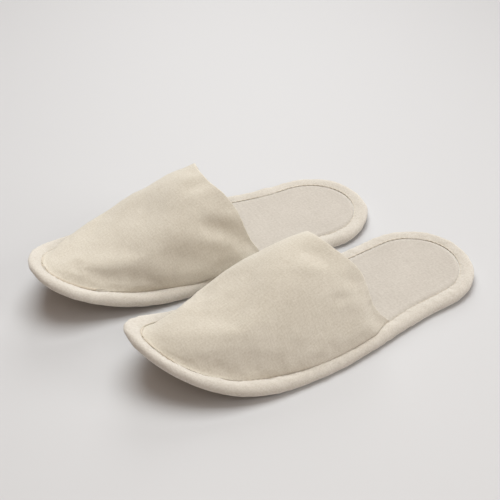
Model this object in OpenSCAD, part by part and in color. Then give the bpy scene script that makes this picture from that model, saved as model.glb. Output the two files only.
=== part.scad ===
// Pair of closed-toe spa slippers: a bound, padded sole with a soft padded upper.
// Millimetres, +Z up, toes towards -Y. The left slipper stands at +X and the right
// one, its mirror image, at -X. Each is drawn in foot coordinates (x towards the
// other foot, v from the heel to the toe, z up) and then put in its place.
// The sole is in two parts at the line where it bends behind the upper.

/* [Sole outline] */
// Length from heel to toe
sole_l = 280; // [250:1:300]
// Radius of the round heel
heel_r = 46; // [42:1:50]
// Half the width across the ball of the foot
ball_hw = 53; // [48:1:58]
// Distance from the heel to the widest line, where the toe begins to round off
toe_v = 180; // [165:1:195]
// Shift of the heel towards the other foot
heel_in = 5; // [0:0.5:8]
// Shift of the ball away from the other foot
ball_out = 5; // [0:0.5:8]
// Shift of the toe tip back towards the other foot
toe_in = 12; // [0:0.5:14]

/* [Sole curve] */
// Height that the toe tip curls up
toe_lift = 35; // [10:1:40]
// Share of the length at which the toe starts to curl up
toe_from = 0.58; // [0.5:0.01:0.65]
// Power of the curl, higher is later and sharper
toe_pow = 2.5; // [2:0.1:3]
// Height that the back of the heel curls up
heel_lift = 2.8; // [0:0.1:5]
// Share of the length over which the heel curls up
heel_to = 0.3; // [0.2:0.01:0.3]

/* [Sole layers] */
// Radius of the bound edge, seen from outside as a roll
roll_r = 4.5; // [4.5:0.1:4.8]
// Width of the binding as seen from above, from the outermost line to its edge
bind_w = 10.5; // [9.5:0.1:10.5]
// Thickness of the binding cloth with its fold-over
bind_t = 0.8; // [0.5:0.1:0.9]
// How far the binding's round part reaches up and down from the outermost line, in degrees
bind_arc = 99; // [95:1:99]
// Height of the outsole's upper face
outsole_top = 4.2; // [3.5:0.1:4.5]
// Height of the sponge's upper face
sponge_top = 7.1; // [6.5:0.1:7.1]
// Height of the insole's upper face, where the foot stands
insole_top = 8; // [7.8:0.1:8]
// Radius of the seam thread
thread_r = 0.3; // [0.2:0.05:0.4]

/* [Upper] */
// Distance from the heel to the upper's rear corner on the outer side of the foot
mouth_out = 101; // [100:1:115]
// Distance from the heel to its rear corner on the inner side
mouth_in = 112; // [100:1:120]
// How much nearer the toe the top of the mouth is than its corners
mouth_lean = 30; // [10:1:45]
// Height of the mouth over the insole
crown = 65; // [40:1:66]
// How far the top of the mouth lies towards the inner side
crest_in = 3; // [0:0.5:6]
// Power of the arch across the foot, higher is boxier
arch_pow = 2.8; // [2:0.1:3]
// Power of the slope from toe to mouth: 1 is straight, less is fuller over the toes
slope_pow = 0.93; // [0.8:0.01:1.2]
// Distance from the sole's outer line to the foot of the upper
upper_in = 10.9; // [10.9:0.1:12]
// Thickness of the upper's outer cloth, and of its lining
cloth_t = 0.8; // [0.5:0.1:1]
// Distance between them, which the foam fills
foam_t = 3; // [2:0.1:4]

/* [Pair] */
// Distance between the two slippers' heel centres
pair_gap = 112; // [108:1:150]
// How far the left slipper stands behind the right one
pair_step = 24; // [0:1:60]

/* [Bend] */
// Distance from the heel to the line where the sole bends
flex_v = 97; // [90:1:98]
// Gap between the front and the heel part of the sole
flex_gap = 0.3; // [0.2:0.1:0.5]

/* [Hidden] */
gap = 0.05;                         // between the sole's flat layers
cloth_gap = 0.35;                   // between the upper's curved layers
free = 0.15;                        // between the binding's inside and what it wraps
core_in = roll_r + 0.4;             // rim of the layers inside the binding
inner_in = bind_w + 0.35;           // rim of the tread and insole, beside the binding's edges
thread_in = bind_w - 0.4;           // the seam, along the binding's upper edge
flat_w = bind_w - roll_r + roll_r * cos(bind_arc);  // binding's flat part beyond its round one
flat_fall = flat_w / tan(180 - bind_arc);           // how far it comes in over its width
rise_z = roll_r - roll_r * sin(bind_arc) + flat_fall + bind_t + free;  // outsole's rim
thread_z = 2 * roll_r - (roll_r - roll_r * sin(bind_arc))
    - flat_fall * (1 - (bind_w - thread_in) / flat_w) + thread_r + gap;
front = [flex_v + flex_gap / 2, sole_l];
rear = [0, flex_v - flex_gap / 2];
toe_a = 90 / 12;
heel_a = 90 / 10;

// ---- Curves -------------------------------------------------------------------

function clamp(t) = min(max(t, 0), 1);
function ease(t) = let (u = clamp(t)) u * u * (3 - 2 * u);

// Middle line of the sole
function mid(v) = heel_in - (heel_in + ball_out) * ease((v - 40) / 110)
    + toe_in * pow(clamp((v - toe_v - 35) / (sole_l - toe_v - 35)), 2);

// Half the width of the sole, drawn in by inset: an arc, a waist and an ellipse
function half_w(v, inset) =
    v < heel_r ? sqrt(max(0, pow(heel_r - inset, 2) - pow(heel_r - v, 2)))
    : v < toe_v ? heel_r - inset + (ball_hw - heel_r)
        * ease((v - heel_r - 14) / (toe_v - heel_r - 14))
    : (ball_hw - inset) * sqrt(max(0, 1 - pow((v - toe_v) / (sole_l - toe_v - inset), 2)));

// Distances from the heel at which the outline has a point, within a span
function stations(inset, span) = let (
    heel_v = [for (a = [0:heel_a:90]) heel_r - (heel_r - inset) * cos(a)],
    waist_v = [for (i = [1:8]) heel_r + (toe_v - heel_r) * i / 9],
    toes_v = [for (a = [0:toe_a:90]) toe_v + (sole_l - toe_v - inset) * sin(a)],
    all_v = concat(heel_v, waist_v, toes_v),
    low = span[0] > 0 ? span[0] + 0.5 : 0, high = span[1] < sole_l ? span[1] - 0.5 : sole_l)
    concat(span[0] > 0 ? [span[0]] : [], [for (v = all_v) if (v >= low && v <= high) v],
        span[1] < sole_l ? [span[1]] : []);

function side(vs, inset, s) = [for (v = vs) [mid(v) + s * half_w(v, inset), v]];
function flipped(list) = [for (i = [len(list) - 1:-1:0]) list[i]];
function without(list, first, last) =
    [for (i = [first:len(list) - 1 - last]) list[i]];

// Closed outline of a sole layer
function outline(inset) = let (vs = stations(inset, [0, sole_l]))
    concat(side(vs, inset, 1), without(flipped(side(vs, inset, -1)), 1, 1));

// Edge line of the front or heel part, from one end of the bend to the other
function edge(inset, span) = let (vs = stations(inset, span),
    out = side(vs, inset, 1), back = side(vs, inset, -1))
    span[0] > 0 ? concat(out, without(flipped(back), 1, 0))
    : concat(flipped(back), without(out, 1, 0));

// Curl of the sole, as straight pieces that every layer shares
function curl(v) = toe_lift * pow(clamp((v / sole_l - toe_from) / (1 - toe_from)), toe_pow)
    + heel_lift * pow(clamp(1 - v / sole_l / heel_to), 2);
knots = concat([for (i = [0:6]) heel_to * sole_l * i / 6],
    [for (i = [0:14]) sole_l * (toe_from + (1 - toe_from) * i / 14)]);
curl_table = [for (v = knots) [v, curl(v)]];
function lift(v) = lookup(v, curl_table);

// ---- Building blocks ----------------------------------------------------------

// Closed skin over a row of rings, each an outer run and an inner run back
module skin(rings) {
    n = len(rings[0]);
    m = len(rings);
    sides = [for (j = [0:m - 2], i = [0:n - 1]) let (
        a = j * n + i, b = j * n + (i + 1) % n, c = a + n, d = b + n)
        each [[a, b, d], [a, d, c]]];
    function cap(o, up) = [for (i = [0:n / 2 - 2]) let (
        a = o + i, b = a + 1, d = o + n - 1 - i, c = d - 1)
        each up ? [[a, b, c], [a, c, d]] : [[a, c, b], [a, d, c]]];
    polyhedron([for (r = rings) each r],
        concat(sides, cap(0, false), cap((m - 1) * n, true)), convexity = 8);
}

// A flat section swept along the sole's edge: its points are measured outwards from a line
// drawn in by inset, and up from a height over the sole's underside
module sweep(section, inset, height, span) {
    lines = [for (q = section) edge(inset - q[0], span)];
    skin([for (i = [0:len(lines[0]) - 1]) [for (k = [0:len(section) - 1])
        let (p = lines[k][i]) [p[0], p[1], lift(p[1]) + height + section[k][1]]]]);
}

// One layer of the sole between two heights over its underside
module layer(inset, low, high, span) {
    vs = concat([span[0]], [for (v = knots) if (v > span[0] && v < span[1]) v], [span[1]]);
    intersection() {
        linear_extrude(100) polygon(outline(inset));
        rotate([90, 0, 90]) linear_extrude(200, center = true) polygon(concat(
            [for (v = vs) [v, lift(v) + low]],
            flipped([for (v = vs) [v, lift(v) + high]])));
    }
}

// A surface of the upper at a depth below its outside: one arch per step. The steps close
// up towards the toe tip, where the last arch is as wide as the tip is round
steps = 18;
arch_a = 180 / 22;
function upper_arch(step, depth) = let (
    e = sin(86 * step / steps), inset = upper_in + depth, tip = sole_l - inset,
    top_v = (mouth_out + mouth_in) / 2 + mouth_lean)
    [for (a = [0:arch_a:180.1]) let (
        along = pow(abs(cos(a)), 2 / arch_pow) * sign(round(cos(a) * 1e6)),
        up = pow(abs(sin(min(a, 180))), 2 / arch_pow),
        corner = mouth_out + (mouth_in - mouth_out) * (1 + along) / 2,
        v = corner + (tip - corner) * e + mouth_lean * pow(1 - e, 1.2) * up,
        share = clamp((tip - v) / (tip - top_v)))
        [mid(v) + half_w(v, inset) * along + crest_in * up * share, v,
            lift(v) + insole_top + gap + (crown - depth) * pow(share, slope_pow) * up]];

module upper_layer(outer, inner) {
    skin([for (k = [0:steps])
        concat(upper_arch(k, outer), flipped(upper_arch(k, inner)))]);
}

module on_left() {
    translate([pair_gap / 2, (sole_l + pair_step) / 2, 0]) rotate(180) children();
}
module on_right() {
    translate([-pair_gap / 2, (sole_l - pair_step) / 2, 0]) rotate(180)
        mirror([1, 0, 0]) children();
}

// ---- Sub-parts, in foot coordinates --------------------------------------------

// Foam-rubber outsole: its rim is inside the binding, its tread is on the floor
module outsole(span) {
    color([0.80, 0.78, 0.74]) union() {
        layer(core_in, rise_z, outsole_top, span);
        layer(inner_in, 0, outsole_top, span);
    }
}

// Sponge that pads the insole
module sponge(span) {
    color([0.93, 0.92, 0.88]) layer(core_in, outsole_top + gap, sponge_top, span);
}

// Coarse linen that covers the sponge
module insole(span) {
    color([0.82, 0.79, 0.75]) layer(inner_in, sponge_top + gap, insole_top, span);
}

// Cloth binding wrapped round the sole's edge: a round part between two flat ones
module binding(span) {
    arcs = [for (i = [0:8]) -bind_arc + 2 * bind_arc * i / 8];
    function run(r) = concat([[roll_r - bind_w, flat_fall - r * sin(bind_arc)]],
        [for (a = arcs) r * [cos(a), sin(a)]],
        [[roll_r - bind_w, r * sin(bind_arc) - flat_fall]]);
    section = concat(run(roll_r), flipped(run(roll_r - bind_t)));
    color([0.84, 0.81, 0.75]) sweep(section, roll_r, roll_r, span);
}

// Thread of the seam that holds the binding, the insole and the upper together
module seam(span) {
    section = [for (a = [0:60:300]) thread_r * [cos(a), sin(a)]];
    color([0.76, 0.72, 0.65]) sweep(section, thread_in, thread_z, span);
}

module upper_cloth() {
    color([0.85, 0.81, 0.74]) upper_layer(0, cloth_t);
}
module upper_foam() {
    color([0.95, 0.94, 0.90]) upper_layer(cloth_t + cloth_gap, cloth_t + foam_t - cloth_gap);
}
module upper_lining() {
    color([0.90, 0.88, 0.83]) upper_layer(cloth_t + foam_t, 2 * cloth_t + foam_t);
}

// ---- Nodes ----------------------------------------------------------------------

on_left() outsole(front);  // left_outsole_front
on_left() outsole(rear);  // left_outsole_heel
on_left() sponge(front);  // left_sponge_front
on_left() sponge(rear);  // left_sponge_heel
on_left() insole(front);  // left_insole_front
on_left() insole(rear);  // left_insole_heel
on_left() binding(front);  // left_binding_front
on_left() binding(rear);  // left_binding_heel
on_left() seam(front);  // left_seam_front
on_left() seam(rear);  // left_seam_heel
on_left() upper_cloth();  // left_upper_cloth
on_left() upper_foam();  // left_upper_foam
on_left() upper_lining();  // left_upper_lining
on_right() outsole(front);  // right_outsole_front
on_right() outsole(rear);  // right_outsole_heel
on_right() sponge(front);  // right_sponge_front
on_right() sponge(rear);  // right_sponge_heel
on_right() insole(front);  // right_insole_front
on_right() insole(rear);  // right_insole_heel
on_right() binding(front);  // right_binding_front
on_right() binding(rear);  // right_binding_heel
on_right() seam(front);  // right_seam_front
on_right() seam(rear);  // right_seam_heel
on_right() upper_cloth();  // right_upper_cloth
on_right() upper_foam();  // right_upper_foam
on_right() upper_lining();  // right_upper_lining
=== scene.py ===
"""Pair of closed-toe spa slippers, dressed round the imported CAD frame.

Each slipper is drawn in foot coordinates: x towards the other foot, v from the heel to the
toe, z up. Slipper.world() turns those into the frame's. All lengths are in metres.

In the order of this file: sizes, curves of the sole, mesh helpers, the sole's layers, the
upper, materials, camera, floor and lights, the shapes of the two uppers and the making of
the pair. Each slipper's random unevenness comes from its seed.
"""

import math
from types import SimpleNamespace

import bmesh
import bpy
import numpy as np
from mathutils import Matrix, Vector


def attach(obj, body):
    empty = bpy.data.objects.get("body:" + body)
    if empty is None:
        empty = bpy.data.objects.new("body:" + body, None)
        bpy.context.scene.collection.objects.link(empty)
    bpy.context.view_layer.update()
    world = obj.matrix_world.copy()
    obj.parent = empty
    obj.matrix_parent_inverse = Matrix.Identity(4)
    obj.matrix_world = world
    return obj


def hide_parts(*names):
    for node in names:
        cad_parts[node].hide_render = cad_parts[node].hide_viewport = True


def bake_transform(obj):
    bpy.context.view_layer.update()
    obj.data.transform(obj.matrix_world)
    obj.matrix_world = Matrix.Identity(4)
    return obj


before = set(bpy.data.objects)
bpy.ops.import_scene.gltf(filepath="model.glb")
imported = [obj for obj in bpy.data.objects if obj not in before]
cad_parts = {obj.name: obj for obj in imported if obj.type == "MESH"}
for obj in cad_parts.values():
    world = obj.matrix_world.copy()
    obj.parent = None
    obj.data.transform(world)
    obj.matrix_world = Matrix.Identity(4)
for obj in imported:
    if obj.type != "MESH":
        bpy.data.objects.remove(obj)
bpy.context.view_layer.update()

MM = 0.001

# ---- Sizes, the same as the CAD part's -------------------------------------------------

SOLE_L = 280 * MM  # heel to toe
HEEL_R = 46 * MM  # radius of the round heel
WAIST_V = HEEL_R + 14 * MM  # where the sole begins to widen
BALL_HW = 53 * MM  # half the width across the ball
TOE_V = 180 * MM  # where the toe begins to round off
# Sideways shifts of the middle line, each over its own stretch of the sole
HEEL_IN, BALL_OUT, TOE_IN = 5 * MM, 5 * MM, 12 * MM
SHIFT_V, SHIFT_L, TOE_IN_V = 40 * MM, 110 * MM, TOE_V + 35 * MM
# The curl: height at the tip, the share of the length where it begins, and its power
TOE_LIFT, TOE_FROM, TOE_POW = 35 * MM, 0.58, 2.5
HEEL_LIFT, HEEL_TO, HEEL_POW = 2.8 * MM, 0.3, 2
ROLL_R, BIND_W = 4.5 * MM, 10.5 * MM  # the binding's roll, and its width from above
OUTSOLE_TOP, SPONGE_TOP, INSOLE_TOP = 4.2 * MM, 7.1 * MM, 8 * MM
CORE_IN = 4.9 * MM  # inset of the outsole and sponge inside the binding
INNER_IN, RISE_Z = 10.85 * MM, 1.84 * MM  # step in the outsole that leaves room for it
UPPER_IN, UPPER_T = 10.8 * MM, 4.6 * MM  # inset of the upper's seam, and its thickness
PAIR_GAP, PAIR_STEP = 112 * MM, 24 * MM  # from one to the other, sideways and lengthways

# ---- Curves of the sole ----------------------------------------------------------------

N_HEEL, N_WAIST, N_TOE = 60, 120, 90  # points along half the outline
HALVINGS = 20  # steps of the search in inset_of()


def ease(t):
    """From 0 to 1 as t goes from 0 to 1, level at both ends."""
    u = np.clip(t, 0, 1)
    return u * u * (3 - 2 * u)


def mid(v):
    """Middle line of the sole at a distance v from the heel."""
    toe = np.clip((v - TOE_IN_V) / (SOLE_L - TOE_IN_V), 0, 1)
    return HEEL_IN - (HEEL_IN + BALL_OUT) * ease((v - SHIFT_V) / SHIFT_L) + TOE_IN * toe**2


def half_w(v, inset):
    """Half the width of the sole, drawn in by inset: an arc, a waist and an ellipse."""
    heel = np.sqrt(np.maximum(0, (HEEL_R - inset) ** 2 - (HEEL_R - v) ** 2))
    waist = HEEL_R - inset + (BALL_HW - HEEL_R) * ease((v - WAIST_V) / (TOE_V - WAIST_V))
    t = (v - TOE_V) / (SOLE_L - TOE_V - inset)
    toe = (BALL_HW - inset) * np.sqrt(np.maximum(0, 1 - t**2))
    return np.where(v < HEEL_R, heel, np.where(v < TOE_V, waist, toe))


def lift(v):
    """Height that the sole's curl raises it at v."""
    toe = np.clip((v / SOLE_L - TOE_FROM) / (1 - TOE_FROM), 0, 1)
    heel = np.clip(1 - v / SOLE_L / HEEL_TO, 0, 1)
    return TOE_LIFT * toe**TOE_POW + HEEL_LIFT * heel**HEEL_POW


def outline(inset):
    """Plan curve of the sole drawn in by inset, from the heel up the inner side and back."""
    a = np.linspace(0, math.pi / 2, N_HEEL, endpoint=False)
    b = np.linspace(HEEL_R, TOE_V, N_WAIST, endpoint=False)
    c = np.linspace(0, math.pi / 2, N_TOE)
    v = np.concatenate([
        HEEL_R - (HEEL_R - inset) * np.cos(a), b,
        TOE_V + (SOLE_L - TOE_V - inset) * np.sin(c)])
    inner = np.stack([mid(v) + half_w(v, inset), v], 1)
    outer = np.stack([mid(v) - half_w(v, inset), v], 1)
    return np.concatenate([inner, outer[-2::-1]])


def rim_places(count):
    """Evenly spaced places round the sole, counted in points of its outline."""
    line = outline(BIND_W / 2)
    at = np.concatenate([[0], np.cumsum(np.linalg.norm(np.diff(line, axis=0), axis=1))])
    return np.interp(np.linspace(0, at[-1], count, endpoint=False), at, np.arange(len(at)))


def rim(inset, places):
    """Points of the outline drawn in by inset, at given places."""
    line = outline(inset)
    index = np.arange(len(line))
    return np.stack([np.interp(places, index, line[:, 0]), np.interp(places, index, line[:, 1])], 1)


def inset_of(x, v):
    """How far inside the sole's outline a point lies, by halving the interval."""
    low, high = np.zeros(np.shape(x)), np.full(np.shape(x), HEEL_R)
    for _ in range(HALVINGS):
        half = (low + high) / 2
        inside = half_w(v, half) > np.abs(x - mid(v))
        low, high = np.where(inside, half, low), np.where(inside, high, half)
    return low


def uneven(points, seed, low, high):
    """Smooth unevenness, mostly from -1 to 1, made of waves between low and high long."""
    count = 24
    rng = np.random.default_rng(seed)
    way = rng.normal(size=(count, 3))
    way /= np.linalg.norm(way, axis=1, keepdims=True)
    length = low * (high / low) ** rng.random(count)
    phase = rng.random(count) * 2 * math.pi
    waves = np.sin(points @ (way / length[:, None] * 2 * math.pi).T + phase)
    return waves.sum(-1) / math.sqrt(count)


# ---- Mesh helpers ----------------------------------------------------------------------


MERGE, SLIVER = 0.002 * MM, 0.001 * MM  # points nearer than this are one; edges this short go


def make(name, points, faces, weave):
    """A mesh object from points in the frame, with its cloth's flat coordinates in 'weave'."""
    mesh = bpy.data.meshes.new(name)
    mesh.from_pydata(points.tolist(), [], faces.tolist())
    flat = np.zeros((len(points), 3), np.float32)
    flat[:, :2] = weave
    mesh.attributes.new("weave", "FLOAT_VECTOR", "POINT").data.foreach_set("vector", flat.ravel())
    bm = bmesh.new()
    bm.from_mesh(mesh)
    bmesh.ops.remove_doubles(bm, verts=bm.verts, dist=MERGE)
    bmesh.ops.dissolve_degenerate(bm, dist=SLIVER, edges=bm.edges)
    bmesh.ops.recalc_face_normals(bm, faces=bm.faces)
    bm.to_mesh(mesh)
    bm.free()
    mesh.polygons.foreach_set("use_smooth", [True] * len(mesh.polygons))
    mesh.update()
    obj = bpy.data.objects.new(name, mesh)
    bpy.context.scene.collection.objects.link(obj)
    return obj


def tube_faces(rows, cols):
    """Quads between rows of points, each row a closed loop."""
    j, i = np.meshgrid(np.arange(rows - 1), np.arange(cols), indexing="ij")
    k = (i + 1) % cols
    quads = [j * cols + i, j * cols + k, (j + 1) * cols + k, (j + 1) * cols + i]
    return np.stack(quads, -1).reshape(-1, 4)


def ring_faces(rows, cols):
    """Quads of a tube whose last row joins its first, as round the sole's edge."""
    i = np.arange(cols)
    last = (rows - 1) * cols
    close = np.stack([last + i, last + (i + 1) % cols, (i + 1) % cols, i], -1)
    return np.concatenate([tube_faces(rows, cols), close])


def strip_cap(start, cols):
    """Quads that fill a loop of points, from index start, by joining each to the one across."""
    i = np.arange(cols // 2 - 1)
    return np.stack([i, i + 1, cols - 2 - i, cols - 1 - i], -1) + start


def grid_faces(rows, cols):
    """Quads over a grid of points."""
    j, i = np.meshgrid(np.arange(rows - 1), np.arange(cols - 1), indexing="ij")
    a = j * cols + i
    return np.stack([a, a + 1, a + cols + 1, a + cols], -1).reshape(-1, 4)


TILT_V, TILT_HW = 160 * MM, 40 * MM  # where the toe's tilt begins; its arm from the middle


class Slipper:
    """One slipper: side is 1 for the left and -1 for the right, seed starts its unevenness,
    toe_tilt is the rise of its toe's inner side and toe_reach how much further it ends."""

    def __init__(self, name, side, seed, upper, toe_tilt, toe_reach, creases):
        self.name, self.side, self.seed, self.upper, self.creases = name, side, seed, upper, creases
        self.toe_tilt, self.toe_reach = toe_tilt, toe_reach

    def world(self, p):
        """Points in the frame from foot coordinates (x, v, z), with this toe's own set."""
        x, v, z = p[..., 0], p[..., 1], p[..., 2]
        toe = np.clip((v - TILT_V) / (SOLE_L - TILT_V), 0, 1) ** 2
        z = z + toe * self.toe_tilt * (x - mid(v)) / TILT_HW
        v = v + toe * self.toe_reach
        return np.stack([
            self.side * (PAIR_GAP / 2 - x), (SOLE_L + self.side * PAIR_STEP) / 2 - v, z], -1)

    def whole(self, obj, part, slot):
        """A piece of the sole, in place of the frame's front and heel pieces, which it hides."""
        obj.data.materials.append(MATERIALS[slot])
        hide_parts(f"{self.name}_{part}_front", f"{self.name}_{part}_heel")
        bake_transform(obj)

    def top(self, obj, part, slot):
        """A piece of the upper: it moves with the front."""
        obj.data.materials.append(MATERIALS[slot])
        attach(obj, f"{self.name}_front")
        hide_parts(f"{self.name}_{part}")


# ---- The sole's layers -----------------------------------------------------------------

N_RIM = 640  # points round the sole in every layer
PLACES = rim_places(N_RIM)
RIM_LINE = rim(ROLL_R, PLACES)
RIM_STEP = np.linalg.norm(np.roll(RIM_LINE, -1, 0) - RIM_LINE, axis=1)
RIM_S = np.concatenate([[0], np.cumsum(RIM_STEP)[:-1]])  # distance along the edge
STITCHES = round(RIM_STEP.sum() / (4.4 * MM))  # whole stitches round the sole
STITCH = RIM_STEP.sum() / STITCHES  # length of one
STITCH_WAVE = 0.5 + 0.5 * np.cos(2 * math.pi * RIM_S / STITCH)  # 1 at a stitch, 0 between


def inner_rings(first):
    """Insets of the rings that fill a layer, from first, in mm, to its middle."""
    return np.concatenate([np.arange(first, 20, 1.6), np.arange(20.5, 44, 2.6), [45]]) * MM


def plate(slip, name, slot, profile, shape):
    """A layer of the sole from rings of (inset, height), from its top's middle round its
    rim to its underside's middle. shape(x, v, inset, k) is added to ring k's height."""
    rings, weave = [], []
    for k, (inset, height) in enumerate(profile):
        line = rim(inset, PLACES)
        z = lift(line[:, 1]) + height + shape(line[:, 0], line[:, 1], inset, k)
        rings.append(np.column_stack([line, z]))
        weave.append(line)
    n, m = len(profile), N_RIM
    caps = [strip_cap(1, m - 1), strip_cap((n - 1) * m + 1, m - 1)]
    faces = np.concatenate([tube_faces(n, m), *caps])
    points = slip.world(np.concatenate(rings))
    obj = make(f"{slip.name}_{name}", points, faces, np.concatenate(weave))
    slip.whole(obj, name, slot)
    return obj


def rounded(top_z, low_z, edge_in, radius):
    """Profile of a rounded rim between two heights, from the top face to the lower one."""
    a = np.linspace(math.pi / 2, -math.pi / 2, 6)
    upper = [(edge_in + radius * (1 - math.cos(t)), top_z - radius * (1 - math.sin(t)))
             for t in a if t >= 0]
    lower = [(edge_in + radius * (1 - math.cos(t)), low_z + radius * (1 + math.sin(t)))
             for t in a if t < 0]
    return upper + lower


def build_insole(slip):
    """Linen sheet: it dips into the seam and swells a little beside it."""
    rings = inner_rings(17)
    edge = np.array([15.4, 14, 13, 12.2, 11.6, 11.2, 10.95, 10.8]) * MM
    drop = np.array([0, 0, 0, 0.12, 0.3, 0.55, 0.85, 1.2]) * MM
    profile = [(i, INSOLE_TOP) for i in rings[::-1]]
    profile += [(i, INSOLE_TOP - d) for i, d in zip(edge, drop)]
    top_rows = len(profile)
    under = SPONGE_TOP + 0.06 * MM
    profile += [(10.9 * MM, under - 0.25 * MM), (12 * MM, under)] + [(i, under) for i in rings]

    def shape(x, v, inset, k):
        if k >= top_rows:
            return 0
        bare = ease((slip.upper.mouth_out - v) / (8 * MM))  # 1 behind the upper, 0 under it
        swell = 0.35 * MM * math.exp(-(((inset - 13.8 * MM) / (2.4 * MM)) ** 2))
        pucker = -0.28 * MM * STITCH_WAVE * math.exp(-(((inset - 11.4 * MM) / (1.0 * MM)) ** 2))
        p = np.column_stack([x, v, 0 * x])
        fade = min(1, (inset - UPPER_IN) / (6 * MM))
        soft = uneven(p, slip.seed + 1, 30 * MM, 80 * MM) * 0.22 * MM * fade
        return bare * (swell + pucker + soft + 0.15 * MM * fade) - (1 - bare) * 0.05 * MM
    return plate(slip, "insole", "insole_linen", profile, shape)


def build_sponge(slip):
    """Pad between the insole and the outsole, hidden on every side."""
    rings = inner_rings(8)
    low = OUTSOLE_TOP + 0.05 * MM
    profile = [(i, SPONGE_TOP) for i in rings[::-1]] + rounded(SPONGE_TOP, low, CORE_IN, 1.2 * MM)
    profile += [(i, low) for i in rings]
    return plate(slip, "sponge", "sponge", profile, lambda x, v, inset, k: 0)


def build_outsole(slip):
    """Foam sheet whose rim is thin, inside the binding, with fine ribs across its tread."""
    rings = inner_rings(8)
    tread = inner_rings(12.6)
    profile = [(i, OUTSOLE_TOP) for i in rings[::-1]]
    profile += rounded(OUTSOLE_TOP, RISE_Z, CORE_IN, 0.9 * MM)
    profile += [(8 * MM, RISE_Z), (INNER_IN, RISE_Z), (INNER_IN, RISE_Z - 0.6 * MM),
                (INNER_IN + 0.15 * MM, 0.35 * MM), (INNER_IN + 0.6 * MM, 0)]
    first_tread = len(profile)
    profile += [(i, 0) for i in tread]

    def ribs(x, v, inset, k):
        if k < first_tread:
            return 0
        pitch, sway, groove = 5 * MM, 24 * MM, 0.5 * MM
        wave = np.sin(math.pi * v / pitch + 0.8 * np.sin(2 * math.pi * x / sway))
        return groove * (1 - np.abs(wave) ** 0.6) * ease((inset - 12 * MM) / (2 * MM))
    return plate(slip, "outsole", "outsole_foam", profile, ribs)


def binding_section():
    """Outside of the binding as (inset, height), from its upper edge round to its lower."""
    r, flat = ROLL_R, BIND_W - ROLL_R
    u = np.linspace(0.97, 0.08, 10)
    upper = [(r + flat * t, 2 * r - 0.95 * MM * t**1.7) for t in u]
    arc = [(r - r * math.cos(a), r + r * math.sin(a))
           for a in np.radians(np.linspace(90, -90, 25))]
    lower = [(r + flat * t, 0.9 * MM * t**1.5) for t in u[::-1]]
    tuck = [(BIND_W + 0.15 * MM, 7.35 * MM), (BIND_W + 0.12 * MM, 7.6 * MM),
            (BIND_W + 0.05 * MM, 7.85 * MM)]
    return np.array(tuck + upper + arc + lower)


def build_binding(slip):
    """Cloth tape sewn round the edge: a soft roll with a dimple at each stitch, small
    gathers where the edge turns and slow changes of fullness."""
    section = binding_section()
    way = np.gradient(section, axis=0)
    out = np.column_stack([way[:, 1], -way[:, 0]])
    out /= np.linalg.norm(out, axis=1, keepdims=True)
    if out[len(out) // 2, 0] > 0:  # outwards is towards a smaller inset
        out = -out
    cloth = 0.7 * MM
    loop = np.concatenate([section, (section - out * cloth)[::-1]])
    normal = np.concatenate([out, out[::-1]])
    around = np.concatenate([[0], np.cumsum(np.linalg.norm(np.diff(loop, axis=0), axis=1))])
    into = (rim(ROLL_R + MM, PLACES) - RIM_LINE) / MM  # plan direction of a growing inset
    turn = np.abs(np.gradient(np.unwrap(np.arctan2(into[:, 1], into[:, 0])))) / RIM_STEP
    gather = np.clip(turn * 0.03, 0, 1)  # 1 where the edge turns sharply
    rows, weave = [], []
    for (inset, height), (n_in, n_up), s in zip(loop, normal, around):
        line = rim(inset, PLACES)
        p = np.column_stack([line, np.full(N_RIM, height)])
        near_seam = math.exp(-(((inset - 9.7 * MM) / (1.5 * MM)) ** 2)) * (height > ROLL_R)
        swell = 0.25 * MM * uneven(p, slip.seed + 2, 18 * MM, 60 * MM)
        swell += 0.16 * MM * uneven(p, slip.seed + 3, 5 * MM, 12 * MM)
        swell += 0.12 * MM * gather * uneven(p * [1, 1, 0.3], slip.seed + 4, 2.6 * MM, 4.5 * MM)
        swell -= 0.32 * MM * near_seam * STITCH_WAVE
        low = 0.15 * MM if height < ROLL_R and inset > ROLL_R else 0  # stays off the floor
        swell = np.minimum(swell, 0) - low if height < 1.5 * MM else swell
        x = line[:, 0] + into[:, 0] * n_in * swell
        v = line[:, 1] + into[:, 1] * n_in * swell
        rows.append(np.column_stack([x, v, lift(v) + height + n_up * swell]))
        weave.append(np.column_stack([RIM_S + s, RIM_S - s]) / math.sqrt(2))  # cut on the bias
    points = np.array(rows).transpose(1, 0, 2).reshape(-1, 3)
    weave = np.array(weave).transpose(1, 0, 2).reshape(-1, 2)
    faces = ring_faces(N_RIM, len(loop))
    obj = make(f"{slip.name}_binding", slip.world(points), faces, weave)
    slip.whole(obj, "binding", "binding_cloth")
    return obj


def build_seam(slip):
    """One thread along the binding's upper edge, up for each stitch and down between."""
    per_stitch, sides, radius = 12, 8, 0.26 * MM
    count = STITCHES * per_stitch
    places = np.interp(np.arange(count) * N_RIM / count, np.arange(N_RIM + 1),
                       np.append(PLACES, len(outline(0)) - 1))
    turn = 2 * math.pi * np.arange(count) / per_stitch
    up = (0.55 - 0.5 * np.abs(np.cos(turn / 2)) ** 3) * MM
    rows = []
    for a in np.linspace(0, 2 * math.pi, sides, endpoint=False):
        line = rim(BIND_W - 0.15 * MM + radius * math.cos(a), places)
        z = lift(line[:, 1]) + 7.7 * MM + up + radius * math.sin(a)
        rows.append(np.column_stack([line, z]))
    points = np.array(rows).transpose(1, 0, 2).reshape(-1, 3)
    weave = np.column_stack([np.tile(np.arange(sides) * 0.2 * MM, count),
                             np.repeat(np.arange(count), sides) * STITCH / per_stitch])
    obj = make(f"{slip.name}_seam", slip.world(points), ring_faces(count, sides), weave)
    slip.whole(obj, "seam", "thread")
    return obj


# ---- The upper -------------------------------------------------------------------------

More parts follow.
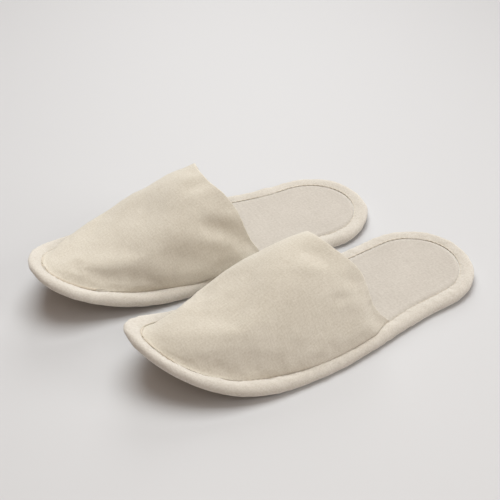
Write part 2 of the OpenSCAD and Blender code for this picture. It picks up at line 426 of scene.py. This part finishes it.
N_ALONG, N_ACROSS = 125, 150  # rows from the mouth to the toe tip, and points in each
HEM_ROWS = 7  # rows of the outer cloth's fold-over inside the mouth
PUCKERS = 60  # in a full turn round the ball of the foot
# Depths where the layers begin and end, as shares of the upper's thickness
CLOTH_TO, HEM_FROM, HEM_TO = 0.15, 1.0, 1.16
FOAM_FROM, FOAM_TO, LINING_FROM, LINING_TO = 0.17, 0.82, 0.84, 0.99

# The simulated cloth
SKIP = 3  # one in so many rows and columns of the upper is simulated
HOLD_W, MOUTH_HOLD = 9 * MM, 0.45  # width of the held bands, and the mouth's hold
CLOTH_SPARE = 0.008  # how much larger than its frame the cloth is cut
LAST_STEP = 20
PUFF_CAP = 3.5 * MM  # how far a point may move


def upper_surface(shape):
    """Outside of the upper as rows of arches, from the mouth to the toe tip."""
    tip = SOLE_L - UPPER_IN
    t = np.linspace(0, 1, N_ACROSS)
    a = math.pi * (t - 0.55 * np.sin(2 * math.pi * t) / (2 * math.pi))  # closer at the seams
    along = np.sign(np.cos(a)) * np.abs(np.cos(a)) ** (2 / shape.wide_pow)
    up = np.abs(np.sin(a)) ** (2 / shape.tall_pow)
    e = np.sin(np.linspace(0, math.pi / 2, N_ALONG))[:, None]  # 0 at the mouth, 1 at the tip
    corner = shape.mouth_out + (shape.mouth_in - shape.mouth_out) * (1 + along) / 2
    edge = shape.lean * up + shape.bend * np.sin(2 * math.pi * up)
    v = np.minimum(corner + (tip - corner) * e + edge * (1 - e) ** 1.2, tip)
    # How far up the dome a place is: 0 at the toe tip and 1 at the top of the mouth
    share = (tip - v) / (tip - (shape.mouth_out + shape.mouth_in) / 2 - shape.lean)
    share = np.clip(share - shape.level * np.maximum(share - 0.6, 0) ** 2, 0, 1)
    x = mid(v) + half_w(v, UPPER_IN) * along + shape.crest_in * up * share
    height = shape.crown * share**shape.slope_pow * up
    height -= shape.droop * up ** (2 + along) * np.exp(-(((1 - share) / 0.1) ** 2))
    # At the toe the cloth rises gently from its seam instead of standing up from it
    aside = np.maximum(inset_of(x, v) - UPPER_IN, 0)
    at_toe = ease((v - 185 * MM) / (60 * MM))
    height *= 1 - at_toe * np.exp(-((aside / (5.5 * MM)) ** 1.1))
    return np.stack([x, v, lift(v) + INSOLE_TOP + height], -1)


def grid_normals(grid):
    """Unit normals of a grid of points, pointing away from the foot."""
    across = np.cross(grid[1:, 1:] - grid[:-1, :-1], grid[:-1, 1:] - grid[1:, :-1])
    total = np.zeros_like(grid)
    for dj in (0, 1):
        for di in (0, 1):
            total[dj:len(grid) - 1 + dj, di:grid.shape[1] - 1 + di] += across
    total[-1] = total[-2:].sum((0, 1))
    total /= np.maximum(np.linalg.norm(total, axis=-1, keepdims=True), 1e-15)
    return total if total[10, N_ACROSS // 2, 2] > 0 else -total


def seam_distance(grid):
    """Distance of each point of the upper from the seam round it."""
    aside = np.maximum(inset_of(grid[..., 0], grid[..., 1]) - UPPER_IN, 0)
    height = np.maximum(grid[..., 2] - lift(grid[..., 1]) - INSOLE_TOP, 0)
    return np.hypot(aside, height)


def mouth_distance(grid):
    """Distance of each point of the upper from the mouth's edge, down its own column."""
    return np.linalg.norm(grid - grid[:1], axis=-1)


def kept(count):
    """Which of count rows or columns are simulated."""
    return np.unique(np.append(np.arange(0, count, SKIP), count - 1))


def filled(field, rows, count):
    """A field with values for some rows, interpolated to all count of them."""
    lines = field.reshape(len(rows), -1).T
    full = [np.interp(np.arange(count), rows, line) for line in lines]
    return np.stack(full, -1).reshape(count, *field.shape[1:])


def softened(field, times):
    """A field over the grid with each value averaged with its neighbours."""
    for _ in range(times):
        f = np.pad(field, ((1, 1), (1, 1), (0, 0)), mode="edge")
        field = (f[1:-1, 1:-1] * 4 + f[:-2, 1:-1] + f[2:, 1:-1] + f[1:-1, :-2] + f[1:-1, 2:]) / 8
    return field


def puffed(grid):
    """How cloth on soft foam swells and puckers: a simulation of a coarser sheet that is cut
    a little larger than its frame, held at the seam and the mouth and pushed out from within.
    Gives each point's shift."""
    rows, cols = kept(len(grid)), kept(N_ACROSS)
    coarse = grid[np.ix_(rows, cols)]
    n, m = coarse.shape[:2]
    coarse[-1] += np.linspace(-1, 1, m)[:, None] * [0.4 * MM, 0, 0]  # the tip isn't a point
    mesh = bpy.data.meshes.new("sheet")
    mesh.from_pydata(coarse.reshape(-1, 3).tolist(), [], grid_faces(n, m).tolist())
    obj = bpy.data.objects.new("sheet", mesh)
    bpy.context.scene.collection.objects.link(obj)
    held = obj.vertex_groups.new(name="held")
    weight = np.maximum(1 - seam_distance(coarse) / HOLD_W,
                        MOUTH_HOLD * (1 - mouth_distance(coarse) / HOLD_W))
    for k, w in enumerate(np.clip(weight, 0, 1).ravel()):
        if w > 0:
            held.add([k], float(w), "REPLACE")
    s = obj.modifiers.new("cloth", "CLOTH").settings
    s.quality, s.mass = 6, 0.3
    s.tension_stiffness = s.compression_stiffness = 15
    s.shear_stiffness, s.bending_stiffness = 5, 6
    s.vertex_group_mass = "held"
    s.shrink_min = -CLOTH_SPARE
    s.use_pressure = True
    s.uniform_pressure_force = 0.8
    s.effector_weights.gravity = 0
    for step in range(1, LAST_STEP + 1):
        bpy.context.scene.frame_set(step)
    shape = obj.evaluated_get(bpy.context.evaluated_depsgraph_get()).to_mesh()
    moved = np.zeros(n * m * 3, np.float32)
    shape.vertices.foreach_get("co", moved)
    bpy.context.scene.frame_set(1)
    bpy.data.objects.remove(obj)
    shift = moved.reshape(n, m, 3) - coarse
    size = np.linalg.norm(shift, axis=-1, keepdims=True)
    shift *= np.minimum(1, PUFF_CAP / np.maximum(size, 1e-9))
    shift = filled(shift.transpose(1, 0, 2), cols, N_ACROSS).transpose(1, 0, 2)
    return softened(filled(shift, rows, len(grid)), 6)


def crease_depth(grid, crease):
    """Depth of one crease: a valley between two low ridges along a bent line."""
    first, bend, last, width, depth = crease
    t = np.linspace(0, 1, 24)[:, None]
    line = (1 - t) ** 2 * np.array(first) + 2 * t * (1 - t) * np.array(bend) + t**2 * np.array(last)
    gap = np.linalg.norm(grid[..., None, :] / MM - line[:, [1, 0, 2]], axis=-1)
    far = gap.min(-1) / width
    taper = np.sin(math.pi * (0.03 + 0.94 * t[gap.argmin(-1), 0])) ** 0.7
    return depth * MM * taper * (np.exp(-(far**2)) - 0.45 * np.exp(-(((far - 1.9) / 0.9) ** 2)))


def hang_over(shape, grid, away):
    """Moves the low walls outwards, so that they hang over the binding, but not at the
    mouth's corners or at the toe."""
    aside = grid[..., 0] - mid(grid[..., 1])
    over = np.where(aside > 0, shape.over_in, shape.over_out)
    over = over * ease(mouth_distance(grid) / (18 * MM)) * ease((215 * MM - grid[..., 1]) / (60 * MM))
    over = over * (1 - np.exp(-away / (0.6 * MM))) * np.exp(-((away / (24 * MM)) ** 2))
    grid[..., 0] += np.sign(aside) * over


def swelling(slip, grid, away):
    """How far the cloth stands out from its plain surface: a bulge low on the walls, soft
    waves, puckers by the seam and the creases."""
    x, v = grid[..., 0], grid[..., 1]
    free = ease(away / (10 * MM))
    front = ease((v - 160 * MM) / (50 * MM))
    swell = slip.upper.bulge * (1 - np.exp(-away / (1.3 * MM))) * np.exp(-away / (18 * MM))
    swell *= 1 - 0.8 * front
    swell += free * 0.55 * MM * uneven(grid, slip.seed + 5, 26 * MM, 70 * MM)
    swell += free * 0.10 * MM * uneven(grid, slip.seed + 6, 7 * MM, 16 * MM)
    wave = 0.5 + 0.5 * np.cos(np.arctan2(v - TOE_V, x - mid(v)) * PUCKERS)
    swell -= 0.16 * MM * wave * np.exp(-(((away - 2.2 * MM) / (1.8 * MM)) ** 2))
    for crease in slip.creases:
        swell -= free * crease_depth(grid, crease)
    return swell[..., None]


def flat_places(grid):
    """Place of each point on the flat cloth: across from the crown, and along from the mouth."""
    step = np.linalg.norm(np.diff(grid, axis=1), axis=-1)
    across = np.concatenate([np.zeros((len(grid), 1)), np.cumsum(step, 1)], 1)
    across -= across[:, N_ACROSS // 2, None]
    step = np.linalg.norm(np.diff(grid[:, N_ACROSS // 2], axis=0), axis=-1)
    along = np.concatenate([[0], np.cumsum(step)])
    return np.stack([across, np.broadcast_to(along[:, None], across.shape)], -1)


def build_upper(slip):
    """Outer cloth, foam and lining as closed shells round one padded surface."""
    grid = upper_surface(slip.upper)
    away = seam_distance(grid)
    hang_over(slip.upper, grid, away)
    # The edge goes into the seam at the sides and lies a little over it at the toe
    tuck = 0.12 * MM - 0.42 * MM * ease((grid[..., 1] - 190 * MM) / (50 * MM))
    grid = grid + puffed(grid) + grid_normals(grid) * swelling(slip, grid, away)
    grid[..., 2] -= tuck * np.exp(-((away / (1.6 * MM)) ** 2))
    normal = grid_normals(grid)
    flat = flat_places(grid)
    # Thinner towards the seam and towards the mouth
    thick = UPPER_T * (0.2 + 0.8 * ease(away / (7 * MM)))
    thick *= 0.5 + 0.5 * ease(mouth_distance(grid) / (14 * MM))

    def shell(name, rows, part, slot):
        """A closed shell from rows of (outer points, inner points, flat coordinates)."""
        points = np.concatenate([np.concatenate([o, i[::-1]]) for o, i, _ in rows])
        weave = np.concatenate([np.concatenate([f, f[::-1]]) for _, _, f in rows])
        n, m = len(rows), 2 * N_ACROSS
        faces = np.concatenate([tube_faces(n, m), strip_cap(0, m), strip_cap((n - 1) * m, m)])
        obj = make(f"{slip.name}_{name}", slip.world(points), faces, weave)
        slip.top(obj, part, slot)
        return obj

    def at(j, depth):
        """Row j of the upper at a share of its thickness."""
        return grid[j] - normal[j] * (thick[j] * depth)[:, None]

    # The outer cloth: its hem inside the mouth, the turn round the edge, and the outside
    rows = []
    for j in range(HEM_ROWS, -1, -1):
        top = HEM_FROM * 1.12 if j == HEM_ROWS else HEM_FROM  # the hem's end is thin
        rows.append((at(j, HEM_TO), at(j, top), flat[j] * [1, -1]))
    edge_way = grid[0] - grid[2]
    edge_way -= normal[0] * (edge_way * normal[0]).sum(-1, keepdims=True)
    edge_way /= np.linalg.norm(edge_way, axis=-1, keepdims=True)
    outer = (thick[0] * HEM_TO / 2)[:, None]
    inner = outer - (thick[0] * CLOTH_TO)[:, None]
    centre = grid[0] - normal[0] * outer
    for a in np.linspace(math.pi, 0, 9)[1:-1]:
        way = normal[0] * math.cos(a) + edge_way * math.sin(a)
        rows.append((centre + way * outer, centre + way * inner, flat[0] + [0, -a * MM]))
    for j in range(len(grid)):
        rows.append((grid[j], at(j, CLOTH_TO), flat[j]))
    cloth = shell("upper_outside", rows, "upper_cloth", "upper_cloth")

    rows = [(at(j, FOAM_FROM), at(j, FOAM_TO), flat[j]) for j in range(1, len(grid) - 1)]
    foam = shell("upper_padding", rows, "upper_foam", "upper_foam")
    rows = [(at(j, LINING_FROM), at(j, LINING_TO), flat[j]) for j in range(2, len(grid) - 1)]
    lining = shell("upper_inside", rows, "upper_lining", "upper_lining")
    return cloth, foam, lining


# ---- Materials -------------------------------------------------------------------------


class Material:
    """A material whose nodes are added one call at a time."""

    def __init__(self, name):
        self.made = bpy.data.materials.new(name)
        self.made.use_nodes = True
        self.tree = self.made.node_tree
        self.shader = self.tree.nodes["Principled BSDF"]

    def add(self, kind, inputs, **settings):
        """A node of a kind; an input is a number, a colour or another node's output."""
        node = self.tree.nodes.new(kind)
        for key, value in settings.items():
            setattr(node, key, value)
        for key, value in inputs.items():
            self.set(node.inputs[key], value)
        return node

    def set(self, socket, value):
        if isinstance(value, bpy.types.NodeSocket):
            self.tree.links.new(value, socket)
        else:
            socket.default_value = value

    def math(self, operation, *values):
        inputs = dict(enumerate(values))
        return self.add("ShaderNodeMath", inputs, operation=operation).outputs[0]

    def noise(self, vector, scale, detail=2.0, rough=0.5):
        inputs = {"Vector": vector, "Scale": scale, "Detail": detail, "Roughness": rough}
        return self.add("ShaderNodeTexNoise", inputs).outputs["Fac"]

    def stretched(self, vector, sx, sy):
        inputs = {"Vector": vector, "Scale": (sx, sy, 1)}
        return self.add("ShaderNodeMapping", inputs).outputs[0]

    def between(self, dark, light, tone):
        """A colour from dark at tone 0 to light at tone 1."""
        ramp = self.add("ShaderNodeValToRGB", {0: tone})
        for element, colour in zip(ramp.color_ramp.elements, (dark, light)):
            element.color = (*colour, 1)
        return ramp.outputs[0]

    def raised(self, height, distance):
        """The normal of a surface raised by height, which is in units of distance."""
        inputs = {"Height": height, "Distance": distance, "Strength": 1.0}
        return self.add("ShaderNodeBump", inputs).outputs[0]

    def surface(self, **values):
        """Sets inputs of the shader, named with _ for each space."""
        for key, value in values.items():
            self.set(self.shader.inputs[key.replace("_", " ")], value)


def cloth(name, dark, light, thread, slub, mottle, bump, sheen, rough):
    """Plain-woven cloth: threads over and under, thick and thin stretches of yarn, fibre
    and a slow change of tone. dark and light are the ends of its colour, thread is a
    thread's width, slub and mottle are the strengths of uneven yarn and of flecks."""
    m = Material(name)
    flat = m.add("ShaderNodeAttribute", {}, attribute_name="weave").outputs["Vector"]
    drift = m.add("ShaderNodeTexNoise", {"Vector": flat, "Scale": 90.0, "Detail": 2.0})
    wander = m.add("ShaderNodeVectorMath", {0: drift.outputs["Color"], 1: (0.5, 0.5, 0.5)},
                   operation="SUBTRACT").outputs[0]
    wander = m.add("ShaderNodeVectorMath", {0: wander, "Scale": thread * 2.2},
                   operation="SCALE").outputs[0]
    bent = m.add("ShaderNodeVectorMath", {0: flat, 1: wander}, operation="ADD").outputs[0]
    axes = m.add("ShaderNodeSeparateXYZ", {0: bent})
    wave_u = m.math("SINE", m.math("MULTIPLY", axes.outputs[0], math.pi / thread))
    wave_v = m.math("SINE", m.math("MULTIPLY", axes.outputs[1], math.pi / thread))
    over = m.math("GREATER_THAN", m.math("MULTIPLY", wave_u, wave_v), 0.0)
    warp, weft = m.math("ABSOLUTE", wave_u), m.math("ABSOLUTE", wave_v)
    warp_up = m.math("MULTIPLY", m.math("POWER", warp, 0.5), m.math("POWER", weft, 0.25))
    weft_up = m.math("MULTIPLY", m.math("POWER", weft, 0.5), m.math("POWER", warp, 0.25))
    inputs = {0: over, 2: weft_up, 3: warp_up}
    threads = m.add("ShaderNodeMix", inputs, data_type="FLOAT").outputs[0]

    across = m.noise(m.stretched(bent, 1 / (thread * 1.6), 1 / (thread * 26)), 1.0, 2.0)
    along = m.noise(m.stretched(bent, 1 / (thread * 26), 1 / (thread * 1.6)), 1.0, 2.0)
    slubs = m.math("ADD", m.math("MULTIPLY", across, 0.5), m.math("MULTIPLY", along, 0.5))
    flecks = m.noise(flat, 1 / (thread * 2.6), 3.0, 0.6)
    slow = m.noise(flat, 28.0, 2.0)

    tone = m.math("MULTIPLY_ADD", m.math("SUBTRACT", slubs, 0.5), slub, 0.5)
    tone = m.math("MULTIPLY_ADD", m.math("SUBTRACT", flecks, 0.5), mottle, tone)
    tone = m.math("MULTIPLY_ADD", m.math("SUBTRACT", threads, 0.55), 0.35, tone)
    tone = m.math("MULTIPLY_ADD", m.math("SUBTRACT", slow, 0.5), 0.5, tone)

    fibre = m.noise(flat, 9000.0, 2.0, 0.6)
    height = m.math("MULTIPLY_ADD", m.math("SUBTRACT", slubs, 0.5), 1.2, threads)
    height = m.math("MULTIPLY_ADD", flecks, 0.8, height)
    height = m.math("MULTIPLY_ADD", fibre, 0.25, height)
    matt = m.math("MULTIPLY_ADD", m.math("SUBTRACT", slubs, 0.5), 0.2, rough)
    m.surface(Base_Color=m.between(dark, light, tone), Roughness=matt, Normal=m.raised(height, bump))
    m.surface(Sheen_Weight=sheen, Sheen_Roughness=0.45, Specular_IOR_Level=0.2)
    m.surface(Diffuse_Roughness=1.0)  # cloth is nearly as bright seen aslant as seen straight
    return m.made


def foam(name, dark, light, pore, bump, rough):
    """Foam with closed pores: small pits of uneven size."""
    m = Material(name)
    place = m.add("ShaderNodeTexCoord", {}).outputs["Object"]
    pits = m.add("ShaderNodeTexVoronoi", {"Vector": place, "Scale": 1 / pore}).outputs["Distance"]
    grain = m.noise(place, 0.4 / pore, 3.0)
    tone = m.math("MULTIPLY_ADD", grain, 0.6, m.math("MULTIPLY", pits, 0.5))
    m.surface(Base_Color=m.between(dark, light, tone), Roughness=rough, Normal=m.raised(pits, bump))
    m.surface(Specular_IOR_Level=0.3)
    return m.made


def twisted_thread(name, dark, light):
    """Spun thread: its twist runs slantwise round it."""
    m = Material(name)
    flat = m.add("ShaderNodeAttribute", {}, attribute_name="weave").outputs["Vector"]
    axes = m.add("ShaderNodeSeparateXYZ", {0: flat})
    slant = m.math("ADD", m.math("MULTIPLY", axes.outputs[0], 3900.0),
                   m.math("MULTIPLY", axes.outputs[1], 7000.0))
    twist = m.math("ABSOLUTE", m.math("SINE", slant))
    m.surface(Base_Color=m.between(dark, light, twist), Roughness=0.75,
              Normal=m.raised(twist, 0.05 * MM))
    m.surface(Sheen_Weight=0.2)
    return m.made


MATERIALS = {
    "upper_cloth": cloth(
        "upper_cloth", dark=(0.63, 0.58, 0.485), light=(0.85, 0.815, 0.735), thread=0.5 * MM,
        slub=1.0, mottle=1.3, bump=0.06 * MM, sheen=0.2, rough=0.88),
    "binding_cloth": cloth(
        "binding_cloth", dark=(0.63, 0.585, 0.51), light=(0.83, 0.80, 0.745), thread=0.5 * MM,
        slub=0.9, mottle=1.5, bump=0.06 * MM, sheen=0.2, rough=0.88),
    "insole_linen": cloth(
        "insole_linen", dark=(0.57, 0.53, 0.475), light=(0.745, 0.71, 0.655), thread=0.7 * MM,
        slub=0.9, mottle=1.3, bump=0.07 * MM, sheen=0.15, rough=0.9),
    "upper_lining": cloth(
        "upper_lining", dark=(0.62, 0.55, 0.45), light=(0.80, 0.74, 0.64), thread=0.45 * MM,
        slub=0.7, mottle=0.7, bump=0.05 * MM, sheen=0.3, rough=0.9),
    "upper_foam": foam(
        "upper_foam", dark=(0.80, 0.77, 0.70), light=(0.90, 0.88, 0.82), pore=0.6 * MM,
        bump=0.15 * MM, rough=0.9),
    "sponge": foam(
        "sponge", dark=(0.80, 0.78, 0.72), light=(0.92, 0.91, 0.87), pore=0.8 * MM,
        bump=0.25 * MM, rough=0.9),
    "outsole_foam": foam(
        "outsole_foam", dark=(0.36, 0.28, 0.20), light=(0.48, 0.39, 0.29), pore=0.5 * MM,
        bump=0.05 * MM, rough=0.7),
    "thread": twisted_thread("thread", dark=(0.56, 0.49, 0.39), light=(0.80, 0.74, 0.64)),
}

# ---- Camera, floor and lights ----------------------------------------------------------


IMAGE_W, SENSOR_W = 500, 36  # pixels, and mm


def camera():
    """The photo's view: far is the camera's distance from the target, and scale is the
    number of pixels to a metre there."""
    az, el, far, scale = math.radians(59.3), math.radians(36.1), 0.868, 1.292 / MM
    target = Vector((-38.6 * MM, 19.0 * MM, 0))
    back = Vector((math.sin(az) * math.cos(el), -math.cos(az) * math.cos(el), math.sin(el)))
    data = bpy.data.cameras.new("camera")
    data.sensor_width = SENSOR_W
    data.lens = SENSOR_W * scale * far / IMAGE_W
    cam = bpy.data.objects.new("camera", data)
    cam.location = target + back * far
    cam.rotation_mode = "QUATERNION"
    cam.rotation_quaternion = (-back).to_track_quat("-Z", "Y")
    bpy.context.scene.collection.objects.link(cam)
    bpy.context.scene.camera = cam


def floor():
    """A plain pale floor, 6 m square."""
    mesh = bpy.data.meshes.new("floor")
    s = 3.0
    mesh.from_pydata([(-s, -s, 0), (s, -s, 0), (s, s, 0), (-s, s, 0)], [], [(0, 1, 2, 3)])
    obj = bpy.data.objects.new("floor", mesh)
    bpy.context.scene.collection.objects.link(obj)
    m = Material("floor")
    m.surface(Base_Color=(0.62, 0.622, 0.632, 1), Roughness=0.6)
    mesh.materials.append(m.made)


def area_light(name, place, size, energy, colour):
    """A square softbox that faces the pair."""
    data = bpy.data.lights.new(name, "AREA")
    data.energy, data.size, data.color = energy, size, colour
    obj = bpy.data.objects.new(name, data)
    obj.location = place
    obj.rotation_mode = "QUATERNION"
    obj.rotation_quaternion = (-Vector(place)).to_track_quat("-Z", "Y")
    bpy.context.scene.collection.objects.link(obj)


def lights():
    """A softbox overhead and three weaker ones round the pair, in a dim warm room."""
    world = bpy.data.worlds.new("world")
    bpy.context.scene.world = world
    world.use_nodes = True
    background = world.node_tree.nodes["Background"].inputs
    background["Color"].default_value = (1, 0.73, 0.59, 1)
    background["Strength"].default_value = 0.19
    area_light("overhead", (-0.14, 0.05, 1.2), 0.85, 12.3, (0.97, 1, 1))
    area_light("back", (-0.7, 0.4, 0.6), 0.5, 2.3, (0.98, 1, 1))
    area_light("right", (0.75, 0.75, 0.6), 0.6, 3.4, (1, 1, 0.99))
    area_light("front", (0.85, -0.45, 0.9), 0.8, 2.3, (1, 0.93, 0.84))


# ---- The pair --------------------------------------------------------------------------

# How each upper has settled on its sole. Its mouth: the outer and inner corners, how far the
# top leans over the toes and how the edge bends on the way up. Its dome: crown is its height,
# level and slope_pow how the height levels off at the mouth and falls to the toe, wide_pow
# and tall_pow the arch's roundness, crest_in the crest's shift to the inner side, and droop
# how much the mouth's top sags. Its walls: how far they bulge, and how far over_out and
# over_in they hang over the binding on the outer and inner side.
LEFT_UPPER = SimpleNamespace(
    mouth_out=98 * MM, mouth_in=113 * MM, lean=27 * MM, bend=4.3 * MM,
    crown=70 * MM, level=1.37, slope_pow=0.75, wide_pow=2.07, tall_pow=1.7, crest_in=14 * MM,
    droop=0, bulge=1.0 * MM, over_out=5 * MM, over_in=0)
RIGHT_UPPER = SimpleNamespace(
    mouth_out=105.7 * MM, mouth_in=109.9 * MM, lean=33.7 * MM, bend=2.1 * MM,
    crown=70.5 * MM, level=0.19, slope_pow=0.98, wide_pow=2.25, tall_pow=2.4, crest_in=5 * MM,
    droop=6 * MM, bulge=1.0 * MM, over_out=3 * MM, over_in=8 * MM)

# Creases: three places (v, x, z) along each, its width and its depth, in mm
LEFT_CREASES = [
    ((148, -31, 41), (136, -31, 41), (124, -31, 36), 3.5, 0.8),
    ((130, -22, 49), (124, -25, 46), (117, -29, 38), 6, 1.2),
    ((150, 2, 65), (142, -6, 64), (132, -12, 60), 7, 1.9),
]
RIGHT_CREASES = [
    ((160, 32, 50), (147, 36, 47), (132, 37, 34), 5.5, 2.2),
    ((196, 30, 40), (180, 40, 34), (160, 44, 20), 9, 1.8),
    ((138, 12, 74), (149, 11, 71), (160, 8, 64), 5, 1.4),
]

camera()
floor()
lights()
bpy.context.scene.view_settings.view_transform = "Standard"
PAIR = (Slipper("left", 1, 10, LEFT_UPPER, 2.8 * MM, -2.5 * MM, LEFT_CREASES),
        Slipper("right", -1, 40, RIGHT_UPPER, -1.5 * MM, 0.3 * MM, RIGHT_CREASES))
for slip in PAIR:
    outsole, sponge, insole = build_outsole(slip), build_sponge(slip), build_insole(slip)
    binding, seam = build_binding(slip), build_seam(slip)
    outside, padding, inside = build_upper(slip)
